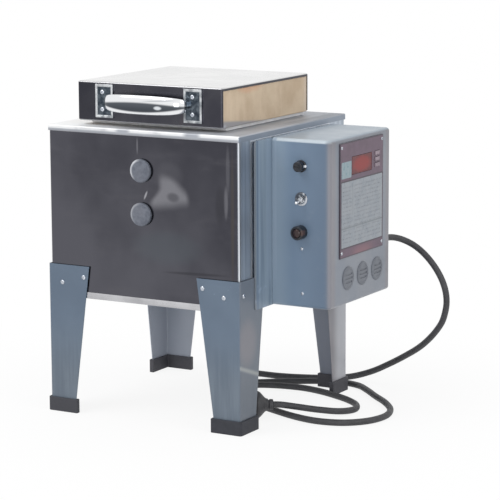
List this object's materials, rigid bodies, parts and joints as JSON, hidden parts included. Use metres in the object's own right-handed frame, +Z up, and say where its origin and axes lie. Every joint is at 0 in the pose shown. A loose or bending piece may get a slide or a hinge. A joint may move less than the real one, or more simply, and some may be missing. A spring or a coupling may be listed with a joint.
{
  "type": "top loading electric kiln",
  "caption": "square electric kiln with firebrick chamber and hinged lid on sheet metal legs, with a control box, plug-in controller face and power cord on its right side",
  "frame": {"origin": "on the floor under the middle of the kiln's bounding box, the power cord and plug left out", "axes": "+Z up, -Y is the front with the lid handle and peepholes, +X is the side of the control box"},
  "size_m": [0.5387, 0.4359, 0.5376],
  "materials": {
    "blue_grey_paint": "satin",
    "stainless": "brushed",
    "polished_steel": "polished",
    "firebrick": "matte, porous",
    "rubber": "matte",
    "chrome": "polished",
    "seat_fibre": "matte",
    "grey_ceramic": "matte",
    "porcelain": "glazed",
    "resistance_wire": "oxidised",
    "zinc": "plated",
    "black_plastic": "satin",
    "maroon_panel": "printed, satin",
    "red_window": "gloss",
    "pale_key": "satin",
    "circuit_board": "satin",
    "lamp_red": "gloss",
    "grey_plastic": "satin"
  },
  "bodies": {
    "kiln_body": {"leg_front_left": "blue_grey_paint", "leg_front_right": "blue_grey_paint", "leg_back_left": "blue_grey_paint", "leg_back_right": "blue_grey_paint", "box_shell": "blue_grey_paint", "box_back_plate": "blue_grey_paint", "boot_front_left": "rubber", "boot_front_right": "rubber", "boot_back_left": "rubber", "boot_back_right": "rubber", "power_cord": "rubber", "plug_body": "rubber", "front_panel": "polished_steel", "back_panel": "polished_steel", "left_panel": "polished_steel", "right_panel": "polished_steel", "bottom_tray": "stainless", "top_cap": "stainless", "plug_prongs": "stainless", "floor_brick": "firebrick", "front_brick": "firebrick", "back_brick": "firebrick", "left_brick": "firebrick", "right_brick": "firebrick", "lid_seat": "seat_fibre", "heating_element_1": "resistance_wire", "heating_element_2": "resistance_wire", "heating_element_3": "resistance_wire", "terminal_strip": "porcelain", "thermocouple": "porcelain", "toggle_switch": "chrome", "hinge_rod": "zinc", "hinge_bracket_left": "zinc", "hinge_bracket_right": "zinc", "controller_plate": "maroon_panel", "display_window": "red_window", "controller_board": "circuit_board", "fuse_holder": "black_plastic", "lamp_bezel": "black_plastic", "relay": "black_plastic", "strain_relief": "black_plastic", "lamp_lens": "lamp_red", "vent_1": "grey_plastic", "vent_2": "grey_plastic", "vent_3": "grey_plastic"},
    "lid": {"lid_cover": "stainless", "lid_brick": "firebrick", "handle_plate_left": "chrome", "handle_plate_right": "chrome", "handle_grip": "chrome", "lid_arm_left": "zinc", "lid_arm_right": "zinc"},
    "upper_peep_plug": {"peep_plug_upper": "grey_ceramic"},
    "lower_peep_plug": {"peep_plug_lower": "grey_ceramic"},
    "toggle": {"toggle_lever": "chrome"},
    "fuse_drawer": {"fuse_carrier": "porcelain"},
    "fuse_knob": {"fuse_cap": "black_plastic"},
    "top_key": {"key_1": "pale_key"},
    "middle_key": {"key_2": "pale_key"},
    "bottom_key": {"key_3": "pale_key"}
  },
  "joints": [
    {"name": "lid_hinge", "type": "hinge", "parent": "kiln_body", "child": "lid", "pos_m": [-0.0523, 0.1415, 0.478], "axis": [-1, 0, 0], "range_deg": [0, 95]},
    {"name": "upper_plug_slide", "type": "slide", "parent": "kiln_body", "child": "upper_peep_plug", "axis": [0, -1, 0], "range_m": [0, 0.075]},
    {"name": "lower_plug_slide", "type": "slide", "parent": "kiln_body", "child": "lower_peep_plug", "axis": [0, -1, 0], "range_m": [0, 0.075]},
    {"name": "toggle_flip", "type": "hinge", "parent": "kiln_body", "child": "toggle", "pos_m": [0.1794, -0.079, 0.3634], "axis": [-1, 0, 0], "range_deg": [0, 26]},
    {"name": "fuse_slide", "type": "slide", "parent": "kiln_body", "child": "fuse_drawer", "axis": [0, -1, 0], "range_m": [0, 0.036]},
    {"name": "fuse_turn", "type": "hinge", "parent": "fuse_drawer", "child": "fuse_knob", "pos_m": [0.1794, -0.0875, 0.415], "axis": [0, -1, 0], "range_deg": [0, 60]},
    {"name": "top_key_press", "type": "slide", "parent": "kiln_body", "child": "top_key", "axis": [-1, 0, 0], "range_m": [0, 0.0008], "stiffness_N_per_m": 150},
    {"name": "middle_key_press", "type": "slide", "parent": "kiln_body", "child": "middle_key", "axis": [-1, 0, 0], "range_m": [0, 0.0008], "stiffness_N_per_m": 150},
    {"name": "bottom_key_press", "type": "slide", "parent": "kiln_body", "child": "bottom_key", "axis": [-1, 0, 0], "range_m": [0, 0.0008], "stiffness_N_per_m": 150}
  ]
}
